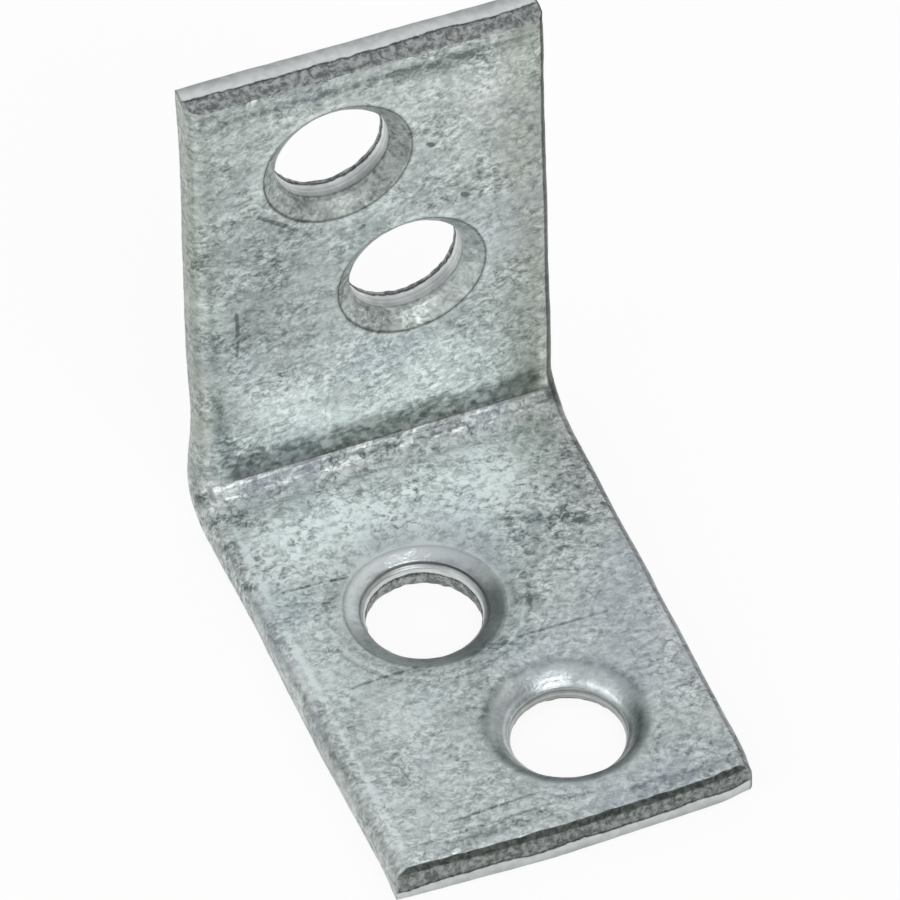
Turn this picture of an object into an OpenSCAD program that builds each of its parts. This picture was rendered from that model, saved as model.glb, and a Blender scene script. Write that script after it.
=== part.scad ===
// Corner brace: a short strip of zinc-plated steel bent to a right angle,
// with two countersunk screw holes in each leg. The holes zigzag from one
// side of the strip's centre line to the other.
//
// Frame: millimetres, +Z up. The floor leg lies flat on z = 0 and runs
// towards -Y; the upright stands at its +Y end. X runs across the strip.
// The origin is the centre of the outline on the ground.

/* [Strip] */
// width of the strip
strip_w = 12.7; // [8:0.1:40]
// thickness of the sheet
sheet_t = 1.3; // [0.8:0.05:4]
// length of the floor leg, from the outer face of the upright to its end
floor_len = 19.1; // [17:0.1:80]
// height of the upright, from the ground to its end
upright_len = 19.5; // [17:0.1:80]
// rounding of the long edges on the face inside the angle
inner_edge_r = 0.5; // [0.1:0.05:0.6]
// rounding of the long edges on the face outside the angle
outer_edge_r = 0.4; // [0.1:0.05:0.6]

/* [Bend] */
// radius of the bend on the face inside the angle
bend_r = 0.7; // [0.4:0.05:4]
// how far the strip's side swells at the bend
swell_h = 0.12; // [0.02:0.01:0.5]
// radius of the round patch that swells
swell_r = 1.6; // [0.8:0.1:4]

/* [Screw holes] */
// diameter of the straight wall of a hole
hole_d = 3.97; // [2:0.01:6]
// diameter of the countersink's mouth
sink_d = 5.3; // [3:0.05:9]
// depth of the countersink's cone
sink_depth = 0.45; // [0.1:0.05:1]
// depth of the straight wall under the cone
land_len = 0.6; // [0.2:0.05:2]
// how much wider the torn mouth is on the outer face
burst_d = 0.14; // [0.02:0.02:0.6]
// how far the holes zigzag to either side of the pattern's middle
hole_offset = 1.235; // [0:0.005:3]
// how far the punched pattern's middle lies off the strip's centre line
pattern_shift = 0.14; // [0:0.01:0.5]
// distance of the outer hole's centre from the end of each leg
end_margin = 4.2; // [3.5:0.05:12]
// distance between the upright's holes, along the leg
upright_pitch = 6.3; // [5:0.05:30]
// distance between the floor leg's holes, along the leg
floor_pitch = 6.6; // [5:0.05:30]

/* [Pressed surrounds] */
// diameter of the shallow dish round each hole of the floor leg
dish_d = 6.9; // [5:0.1:10]
// depth of that dish at its centre, were it not pierced
dish_depth = 0.1; // [0.02:0.01:0.3]

/* [Sheared ends] */
// share of the thickness that the blade cut clean, from the outer face
clean_share = 0.44; // [0.1:0.02:0.9]
// how far the torn part of the end slopes back at the inner face
tear_back = 0.1; // [0.02:0.01:0.5]
// rounding that the blade left at the outer face
roll_r = 0.12; // [0.02:0.01:0.4]
// angle by which the upright's end is cut out of square
upright_skew = 1.2; // [0:0.1:4]
// how far the middle of the floor leg's end bows out past its corners
floor_end_bow = 0.2; // [0.04:0.02:0.5]

/* [Hidden] */
$fn = 96;
// slack for cutters that run past a face
eps = 0.2;
// radius of the bend on the outer face
bend_outer_r = bend_r + sheet_t;
// the holes' distances from the corner where the outer faces would meet
upright_high_s = upright_len - end_margin;
upright_low_s = upright_high_s - upright_pitch;
floor_far_s = floor_len - end_margin;
floor_near_s = floor_far_s - floor_pitch;
// the holes' places across the strip
left_x = pattern_shift - hole_offset;
right_x = pattern_shift + hole_offset;
// what is left of each leg beyond the bend
floor_run = floor_len - bend_outer_r;
upright_run = upright_len - bend_outer_r;
// radius of the ball that leaves a swelling of this width and height
swell_ball_r = (swell_r * swell_r + swell_h * swell_h) / (2 * swell_h);
// radius of the ball that presses a dish of this width and depth
dish_ball_r = (dish_d * dish_d / 4 + dish_depth * dish_depth) / (2 * dish_depth);
// where the swelling is centred: the middle of the sheet, half way round
swell_c = bend_outer_r - (bend_r + sheet_t / 2) * cos(45);
// depth of the bite that forms a sheared end
trim_len = 4;
// radius of the bowed end, and half the angle that its cutter sweeps
bow_r = (strip_w * strip_w / 4 + floor_end_bow * floor_end_bow) / (2 * floor_end_bow);
bow_half = asin((strip_w / 2 + 1) / (bow_r - 1));

// The strip's cross section: width along X, thickness along Y, with the
// outer face on y = 0 and the four long edges rounded.
module strip_section(w) {
    half = w / 2;
    translate([-half, outer_edge_r])
        square([w, sheet_t - outer_edge_r - inner_edge_r]);
    translate([-half + outer_edge_r, 0])
        square([w - 2 * outer_edge_r, sheet_t - inner_edge_r]);
    translate([-half + inner_edge_r, outer_edge_r])
        square([w - 2 * inner_edge_r, sheet_t - outer_edge_r]);
    for (side = [-1, 1]) {
        translate([side * (half - outer_edge_r), outer_edge_r])
            circle(r = outer_edge_r);
        translate([side * (half - inner_edge_r), sheet_t - inner_edge_r])
            circle(r = inner_edge_r);
    }
}

// The bent strip before it is pierced and trimmed: two straight runs and a
// quarter turn that joins them. The outer faces are z = 0 and y = 0.
module bent_strip(w, floor_l, upright_l) {
    translate([0, -bend_outer_r, 0])
        rotate([90, 0, 0])
            linear_extrude(height = floor_l)
                strip_section(w);
    translate([0, 0, bend_outer_r])
        rotate([0, 0, 180])
            linear_extrude(height = upright_l)
                strip_section(w);
    translate([0, -bend_outer_r, bend_outer_r])
        rotate([0, 90, 0])
            rotate_extrude(angle = 90)
                translate([bend_outer_r, 0])
                    rotate(90)
                        strip_section(w);
}

// The swelling of one side of the strip at the bend: the part of a slightly
// wider strip that lies inside a large ball.
module side_swelling() {
    intersection() {
        bent_strip(strip_w + 2 * swell_h, swell_r * 2, swell_r * 2);
        translate([strip_w / 2 + swell_h - swell_ball_r, -swell_c, swell_c])
            sphere(r = swell_ball_r, $fn = 192);
        translate([strip_w / 4, -swell_c - swell_r * 2, swell_c - swell_r * 2])
            cube([strip_w / 4 + swell_h + eps, swell_r * 4, swell_r * 4]);
    }
}

// What a screw hole takes away, along +Z: a cone from the inner face, a
// straight wall, and a torn mouth that widens to the outer face at z = 0.
module screw_hole() {
    burst_len = sheet_t - sink_depth - land_len;
    slope = (sink_d - hole_d) / 2 / sink_depth;
    burst_slope = burst_d / 2 / burst_len;
    translate([0, 0, -eps])
        cylinder(d = hole_d, h = sheet_t + 2 * eps);
    translate([0, 0, sheet_t - sink_depth])
        cylinder(d1 = hole_d, d2 = sink_d + 2 * slope * eps, h = sink_depth + eps);
    translate([0, 0, -eps])
        cylinder(d1 = hole_d + burst_d + 2 * burst_slope * eps, d2 = hole_d, h = burst_len + eps);
}

// The shallow round dish that the countersink's press left in the floor leg.
module pressed_dish() {
    intersection() {
        translate([0, 0, sheet_t - dish_depth + dish_ball_r])
            sphere(r = dish_ball_r, $fn = 360);
        cylinder(d = dish_d + 2 * eps, h = sheet_t + eps);
    }
}

// What the shear takes off an end, seen from the strip's side: everything
// past a clean band that is square to the sheet, a torn band that slopes
// back, and a rolled edge. The strip ends at x = 0, its outer face is y = 0.
module trim_profile() {
    clean = clean_share * sheet_t;
    over = tear_back * (sheet_t - clean + eps) / (sheet_t - clean);
    polygon([
        [0, clean], [-over, sheet_t + eps], [trim_len, sheet_t + eps],
        [trim_len, -eps], [0, -eps]
    ]);
    difference() {
        translate([-roll_r, -eps])
            square([roll_r + eps, roll_r + eps]);
        translate([-roll_r, roll_r])
            circle(r = roll_r);
    }
}

// The straight cut, for a strip that runs along +Y up to y = 0.
module straight_trim() {
    rotate([90, 0, 90])
        linear_extrude(height = strip_w + 2, center = true)
            trim_profile();
}

// The bowed cut, for the same strip: its middle reaches y = 0.
module bowed_trim() {
    translate([0, -bow_r, 0])
        rotate([0, 0, 90 - bow_half])
            rotate_extrude(angle = 2 * bow_half, $fn = 1440)
                translate([bow_r, 0])
                    trim_profile();
}

module bracket() {
    color([0.72, 0.76, 0.75])
    translate([0, floor_len / 2, 0])
    difference() {
        union() {
            bent_strip(strip_w, floor_run + 1, upright_run + 1);
            side_swelling();
            mirror([1, 0, 0])
                side_swelling();
        }
        // the sheared ends
        translate([0, -floor_len, 0])
            rotate([0, 0, 180])
                bowed_trim();
        translate([0, 0, upright_len])
            rotate([0, upright_skew, 0])
                rotate([90, 0, 0])
                    straight_trim();
        // the floor leg's holes, each in its pressed dish
        for (h = [[left_x, floor_near_s], [right_x, floor_far_s]]) {
            translate([h[0], -h[1], 0]) {
                screw_hole();
                pressed_dish();
            }
        }
        // the upright's holes
        for (h = [[right_x, upright_low_s], [left_x, upright_high_s]]) {
            translate([h[0], 0, h[1]])
                rotate([90, 0, 0])
                    screw_hole();
        }
    }
}

bracket();
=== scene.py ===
"""Corner brace: the looks of a short strip of zinc-plated steel, bent to a
right angle and pierced by two countersunk screw holes in each leg.

The whole strip is one closed skin. It is worked out on the developed sheet,
where a place is (u, x, n) in millimetres: u runs along the strip from the
floor leg (negative) through the middle of the bend (0) to the upright
(positive), x runs across it, and n is the height above the outer face. The
sheet's wear and waves are added there, and the skin is then rolled round the
bend into its place in the frame.
"""

import logging
import math
from dataclasses import dataclass, field
from enum import Enum

import bmesh
import bpy
import numpy as np
from mathutils import Matrix, Vector


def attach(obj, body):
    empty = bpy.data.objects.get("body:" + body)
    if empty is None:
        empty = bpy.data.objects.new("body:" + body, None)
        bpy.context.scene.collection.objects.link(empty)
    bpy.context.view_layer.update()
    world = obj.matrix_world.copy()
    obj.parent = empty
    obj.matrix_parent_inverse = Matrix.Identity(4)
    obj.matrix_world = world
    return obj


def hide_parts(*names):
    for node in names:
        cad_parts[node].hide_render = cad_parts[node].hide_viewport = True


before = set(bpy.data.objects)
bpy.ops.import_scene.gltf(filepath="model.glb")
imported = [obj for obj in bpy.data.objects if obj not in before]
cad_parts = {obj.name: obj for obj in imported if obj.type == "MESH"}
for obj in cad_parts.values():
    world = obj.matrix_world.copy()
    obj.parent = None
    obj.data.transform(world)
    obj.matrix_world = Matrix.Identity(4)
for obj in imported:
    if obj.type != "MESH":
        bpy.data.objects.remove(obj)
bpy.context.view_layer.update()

LOG = logging.getLogger("corner_brace")
MM = 0.001
Array = np.ndarray
Socket = bpy.types.NodeSocket


class Side(Enum):
    """The two sides of the strip, by the sign of x."""

    LEFT = -1
    RIGHT = 1


class Leg(Enum):
    """The two legs of the strip, by the sign of u."""

    FLOOR = -1
    UPRIGHT = 1


class Tag(Enum):
    """What each point of the skin remembers for its finish."""

    CUT = 0
    TEAR = 1
    CONE = 2
    SIDE = 3
    SHADE = 4


# ---------------------------------------------------------------- numbers


def ease(value: Array, low: float, high: float) -> Array:
    """A soft step: 0 up to low, 1 from high, and 3t^2 - 2t^3 between.

    Args:
        value: The numbers to put through the step.
        low: Where the step leaves 0.
        high: Where the step reaches 1.

    Returns:
        The eased numbers, of value's shape.
    """
    t = np.clip((value - low) / (high - low), 0.0, 1.0)
    return t * t * (3.0 - 2.0 * t)


def hump(value: Array, centre: float, reach: float) -> Array:
    """A bell, exp(-((value - centre) / reach)^2), of height 1.

    Args:
        value: The numbers to put through the bell.
        centre: Where the bell stands.
        reach: Its half width, where it has fallen to 1/e.

    Returns:
        The bell's height at each number.
    """
    return np.exp(-(((value - centre) / reach) ** 2))


def grid_lines(knots: list[float], counts: list[int]) -> Array:
    """Lines that divide each span between two knots evenly.

    Args:
        knots: Places that must be lines, in rising order.
        counts: How many cells lie between each knot and the next.

    Returns:
        The lines' places, knots included.
    """
    spans = [
        np.linspace(a, b, c, endpoint=False)
        for a, b, c in zip(knots, knots[1:], counts)
    ]
    return np.concatenate([*spans, knots[-1:]])


def waves(places: Array, length: float, seed: int, count: int = 48) -> Array:
    """A seeded random swell: a sum of cosines that run in all directions,
    with wavelengths within a third of the given one, scaled to variance 1.

    Args:
        places: Points of the developed sheet, shape (..., 3).
        length: The mean wavelength, in millimetres.
        seed: Which swell.
        count: How many cosines are summed.

    Returns:
        The swell's height at each point.
    """
    rng = np.random.default_rng(seed)
    ways = rng.normal(size=(count, 3))
    ways /= np.linalg.norm(ways, axis=1, keepdims=True)
    lengths = length * rng.uniform(0.7, 1.35, count)
    ways *= (2.0 * np.pi / lengths)[:, None]
    phases = rng.uniform(0.0, 2.0 * np.pi, count)
    total = np.zeros(places.shape[:-1])
    for way, phase in zip(ways, phases):
        total += np.cos(places @ way + phase)
    return total * math.sqrt(2.0 / count)


@dataclass
class Patch:
    """A grid of points of the skin, with the cells that are faces."""

    points: Array
    keep: Array | None = None
    tags: Array | None = None

    def filled_tags(self) -> Array:
        """The tags of every point; an untagged point is plain plated face."""
        if self.tags is not None:
            return self.tags
        plain = np.zeros((*self.points.shape[:2], len(Tag)))
        plain[..., Tag.TEAR.value] = -1.0
        return plain

    def quads(self) -> Array:
        """The kept cells as rows of four point numbers."""
        rows, cols = self.points.shape[:2]
        index = np.arange(rows * cols).reshape(rows, cols)
        cells = np.stack(
            [index[:-1, :-1], index[1:, :-1], index[1:, 1:], index[:-1, 1:]], -1
        )
        keep = np.ones(cells.shape[:2], bool) if self.keep is None else self.keep
        return cells[keep]


def weld(patches: list[Patch]) -> tuple[Array, Array, Array]:
    """Joins patches into one skin by giving equal places one number.

    Args:
        patches: The patches, whose shared borders hold equal places.

    Returns:
        The points, their tags (the largest where patches meet) and the quads.
    """
    points = np.concatenate([p.points.reshape(-1, 3) for p in patches])
    tags = np.concatenate([p.filled_tags().reshape(-1, len(Tag)) for p in patches])
    starts = np.cumsum([0] + [p.points.shape[0] * p.points.shape[1] for p in patches])
    quads = np.concatenate([p.quads() + s for p, s in zip(patches, starts)])
    keys = np.round(points * 1.0e4 + 0.137).astype(np.int64)
    _, first, number = np.unique(keys, axis=0, return_index=True, return_inverse=True)
    number = number.reshape(-1)
    quads = number[quads]
    used = np.unique(quads)
    renumber = np.full(len(first), -1)
    renumber[used] = np.arange(len(used))
    merged = np.full((len(first), len(Tag)), -1.0e9)
    np.maximum.at(merged, number, tags)
    return points[first][used], merged[used], renumber[quads]


# ---------------------------------------------------------------- the strip


@dataclass(frozen=True)
class Strip:
    """Sizes of the bent strip, in millimetres."""

    width: float = 12.7
    thickness: float = 1.3
    floor_len: float = 19.1
    upright_len: float = 19.5
    bend_r: float = 0.7
    fillet_r: float = 1.0
    inner_edge_r: float = 0.5
    outer_edge_r: float = 0.4

    @property
    def turn_r(self) -> float:
        """Radius of the bend on the outer face."""
        return self.bend_r + self.thickness

    def bent(self, sheet: Array) -> Array:
        """Rolls places of the developed sheet into the frame.

        Inside the bend, u swings the place about the bend's axis, at the
        outer radius less n; beyond it, the legs run straight on.

        Args:
            sheet: Places (u, x, n) in millimetres, shape (points, 3).

        Returns:
            The places in the frame, in metres.
        """
        u, x, n = sheet.T
        r = self.turn_r
        swing = np.clip((u + r) / (2.0 * r), 0.0, 1.0) * (np.pi / 2.0)
        y = -r + (r - n) * np.sin(swing) + np.minimum(u + r, 0.0)
        z = r - (r - n) * np.cos(swing) + np.maximum(u - r, 0.0)
        return np.stack([x, y + self.floor_len / 2.0, z], -1) * MM

    def fillet(self, u: Array) -> Array:
        """How much fuller the inner face is round the bend than the sheet.

        The inner face follows a circle of the fillet's radius that touches
        both legs. Inside the bend, its height is where a ray from the bend's
        axis meets that circle; beyond it, the circle runs on a little way
        over each leg.

        Args:
            u: The stations along the strip.

        Returns:
            The extra height at each station.
        """
        r, f = self.turn_r, self.fillet_r
        off = f - self.bend_r
        swing = np.clip((u + r) / (2.0 * r), 0.0, 1.0) * (np.pi / 2.0)
        both = np.sin(swing) + np.cos(swing)
        ray = -off * both + np.sqrt((off * both) ** 2 - 2.0 * off**2 + f**2)
        past = np.clip(off - (np.abs(u) - r), 0.0, off)
        flat = f - np.sqrt(f**2 - past**2)
        return np.where(np.abs(u) < r, self.bend_r - ray, flat)

    def half_width(self, side: Side, u: Array) -> Array:
        """Distance of a side from the strip's middle at each station.

        Args:
            side: Which side.
            u: The stations along the strip.

        Returns:
            The half widths: nominal on the floor leg, and less up the
            upright, where the shear ran in.
        """
        if side is Side.LEFT:
            less = 0.12 * ease(u, 2.0, 5.0) + 0.11 * ease(-u, 11.5, 18.5)
        else:
            less = 0.05 * ease(u, 3.0, 6.0) + 0.08 * ease(u, 8.0, 16.0)
            less = less + 0.05 * ease(u, 15.0, 19.5)
        return self.width / 2.0 - less

    def inner_round(self, side: Side, u: Array) -> Array:
        """Rounding of the inner long edge, wider where the bend drew it."""
        reach = 0.30 if side is Side.LEFT else 0.15
        return self.inner_edge_r + reach * hump(u, 0.8, 3.2) - 0.12 * ease(u, 12.0, 19.0)

    def outer_round(self, side: Side, u: Array) -> Array:
        """Rounding of the outer long edge, sharper at the sheared ends."""
        sharp = ease(u, 16.5, 19.4) + ease(-u, 17.5, 19.1)
        least = 0.10 if side is Side.LEFT else 0.25
        return self.outer_edge_r + (least - self.outer_edge_r) * sharp


@dataclass(frozen=True)
class ScrewHole:
    """A countersunk hole: its place on the sheet and its own sizes.

    Its steps are the corners of its profile, as (radius, depth) from the
    inner face: a cone, a small ledge, a punched wall and a torn mouth.
    """

    name: str
    u: float
    x: float
    steps: tuple[tuple[float, float], ...] = (
        (2.60, 0.0), (2.06, 0.43), (1.995, 0.62), (1.98, 0.68), (1.97, 1.12), (1.93, 1.3),
    )
    cone_steps: int = 2
    tear_depth: float = 1.12
    blend_r: float = 0.02
    lean: tuple[float, float] = (0.0, -0.06)
    pressed: float = 0.4
    # Painted shade on one side of the cone (its way in degrees from +u towards +x, and its strength), and
    # dark rings along the wall (depth, reach, share), which are streaks and painted shade at its steps.
    dark_way: float = 125.0
    dark_share: float = 0.34
    dark_rings: tuple[tuple[float, float, float], ...] = (
        (0.63, 0.03, 0.45), (0.77, 0.04, 0.3), (0.94, 0.05, 0.35),
    )
    dish_depth: float = 0.0
    dish_r: float = 3.45
    block: float = 3.086
    round_cells: int = 54
    wall_rings: int = 31
    corner_pull: float = 0.10
    inner_rings: int = 10
    outer_rings: int = 6

    def wall(self, thickness: float) -> tuple[Array, Array, Array]:
        """The hole's profile, from the inner face down to the outer face.

        It runs along the straight lines between the steps, with each corner
        blended by a bell-weighted mean along the way.

        Args:
            thickness: Of the sheet.

        Returns:
            Radius and height n of each ring, and the share of cone.
        """
        corners = np.array(self.steps)
        way = np.concatenate(
            [[0.0], np.cumsum(np.hypot(*np.diff(corners, axis=0).T))]
        )
        step = 0.005
        fine = np.arange(-0.4, way[-1] + 0.4, step)
        lead_in = np.array([[corners[0, 0] + 0.6, 0.0]])
        lead_out = np.array([[corners[-1, 0] + 0.6, thickness]])
        corners = np.concatenate([lead_in, corners, lead_out])
        places = np.concatenate([[-0.6], way, [way[-1] + 0.6]])
        reach = np.arange(-40, 41) * step
        bell = np.exp(-((reach / self.blend_r) ** 2))
        bell /= bell.sum()
        path = [np.interp(fine, places, corners[:, i]) for i in (0, 1)]
        path = [
            np.convolve(np.pad(line, 40, mode="edge"), bell, mode="valid")
            for line in path
        ]
        course = np.unwrap(np.arctan2(np.gradient(path[1]), np.gradient(path[0])))
        inside = (fine > -2.2 * self.blend_r) & (fine < way[-1] + 0.03)
        crowding = 1.0 + self.corner_pull * np.abs(np.gradient(course, step))
        travelled = np.cumsum(crowding[inside])
        rings = np.interp(
            np.linspace(travelled[0], travelled[-1], self.wall_rings),
            travelled, fine[inside],
        )
        radius, depth = (np.interp(rings, fine, line) for line in path)
        depth[0], depth[-1] = 0.0, thickness
        low = self.steps[self.cone_steps][1]
        cone = ease(depth, 0.0, 0.03) * (1.0 - ease(depth, low, low + 0.06))
        return radius, thickness - depth, cone

    def shades(self, angle: Array, depth: Array) -> Array:
        """How dark the hole's wall is painted: its dark rings, which are bells along the depth and stand for
        streaks on the wall and painted shade at its steps, and painted shade on one side of its cone, which
        falls with the cosine of the angle from that side.

        Args:
            angle: Of each spoke, from +u towards +x.
            depth: Of each ring.

        Returns:
            The shade from 0 to 1, shape (rings, spokes).
        """
        # Painted shade on one side of the cone.
        shaded_side = (0.5 + 0.5 * np.cos(angle - math.radians(self.dark_way))) ** 1.5
        low = self.steps[self.cone_steps][1]
        cone = ease(depth, 0.0, 0.05) * (1.0 - ease(depth, low, low + 0.3))
        total = self.dark_share * cone[:, None] * shaded_side
        for place, reach, share in self.dark_rings:
            total = total + share * hump(depth, place, reach)[:, None]
        return np.clip(total, 0.0, 1.0)

    def patch(self, border_in: Array, border_out: Array, thickness: float) -> Patch:
        """The skin from the block's border on the inner face, through the
        hole, to the border on the outer face.

        The rings between the square border and the round mouth are a
        straight blend of the two, closer together towards the mouth. The
        mouth's centre leans off the bore's, less and less with depth.

        Args:
            border_in: The block's border on the inner face, a closed loop.
            border_out: The same loop on the outer face.
            thickness: Of the sheet.

        Returns:
            One patch that closes on itself.
        """
        way = border_in[:, :2] - np.array([self.u, self.x])
        seen = np.unwrap(np.arctan2(way[:, 1], way[:, 0]))
        even = np.linspace(seen[0], seen[-1], len(seen))
        angle = 0.5 * (seen + even)
        spoke = np.stack([np.cos(angle), np.sin(angle)], -1)
        r, n, cone = self.wall(thickness)
        rings = np.empty((len(r), len(angle), 3))
        rings[..., :2] = np.array([self.u, self.x]) + r[:, None, None] * spoke
        shift = 1.0 - ease(thickness - n, 0.0, 0.35)
        rings[..., :2] += shift[:, None, None] * np.array(self.lean)
        rings[..., 2] = n[:, None]

        def blend(start: Array, stop: Array, count: int) -> Array:
            """Rings from one loop to the next, the last one left out."""
            share = 1.0 - (1.0 - np.linspace(0.0, 1.0, count + 1)[:-1]) ** 1.35
            return start + share[:, None, None] * (stop - start)

        above = blend(border_in, rings[0], self.inner_rings)
        below = blend(border_out, rings[-1], self.outer_rings)[::-1]
        tags = np.zeros((len(above) + len(r) + len(below), len(angle), len(Tag)))
        tags[..., Tag.TEAR.value] = -1.0
        own = slice(len(above), len(above) + len(r))
        depth = thickness - n
        low = self.steps[self.cone_steps][1]
        tags[own, :, Tag.CUT.value] = ease(depth, low - 0.01, low + 0.04)[:, None]
        tags[own, :, Tag.TEAR.value] = (depth - self.tear_depth)[:, None]
        tags[own, :, Tag.CONE.value] = self.pressed * cone[:, None]
        tags[own, :, Tag.SHADE.value] = self.shades(angle, depth)
        tags[own, :, Tag.CUT.value][-1] = 0.5
        return Patch(np.concatenate([above, rings, below]), None, tags)


@dataclass(frozen=True)
class ShearedEnd:
    """A leg's end as the shear left it, in millimetres."""

    leg: Leg
    bow: float = 0.0
    skew: float = 0.0
    clean_share: float = 0.44
    tear_back: float = 0.1
    roll_r: float = 0.12
    rubble: float = 0.012
    proud: float = 0.05
    seed: int = 1

    def torn_depth(self, x: Array, n: Array, strip: Strip) -> Array:
        """How far past the clean band's wavy upper limit a place lies."""
        flat = np.stack([x, 0.0 * x, 0.0 * x], -1)
        limit = self.clean_share * strip.thickness + 0.035 * waves(flat, 2.6, self.seed, 9)
        narrow = 0.15 * ease(-x, 3.6, 6.2) if self.leg is Leg.FLOOR else 0.0
        return n - (limit - narrow)

    def reach(self, x: Array, n: Array, strip: Strip) -> Array:
        """How far the end stands out past its nominal length.

        The sum of how proud it stands; the bow, which falls with the square of x; the skew, which
        falls with x; the roll, a quarter circle at the outer face; the torn
        band's slope back towards the inner face, with its rubble; and a
        small rounding at the inner face.

        Args:
            x: Places across the strip.
            n: Heights above the outer face.
            strip: The strip's sizes.

        Returns:
            The distance at each place, negative where the end falls short.
        """
        t = strip.thickness
        out = self.proud - self.bow * (2.0 * x / strip.width) ** 2
        out = out - math.tan(math.radians(self.skew)) * x
        lift = np.clip(self.roll_r - n, 0.0, self.roll_r)
        out = out - (self.roll_r - np.sqrt(self.roll_r**2 - lift**2))
        torn = self.torn_depth(x, n, strip)
        share = np.clip(torn / ((1.0 - self.clean_share) * t), 0.0, 1.0)
        flat = np.stack([x, n * 1.4, 0.0 * x], -1)
        rough = self.rubble * waves(flat, 0.55, self.seed + 7) + 0.6 * self.rubble * waves(
            flat, 1.4, self.seed + 8
        )
        out = out - self.tear_back * share + rough * ease(torn, -0.02, 0.12)
        return out - 0.07 * ease(n, t - 0.09, t) ** 2


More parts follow.
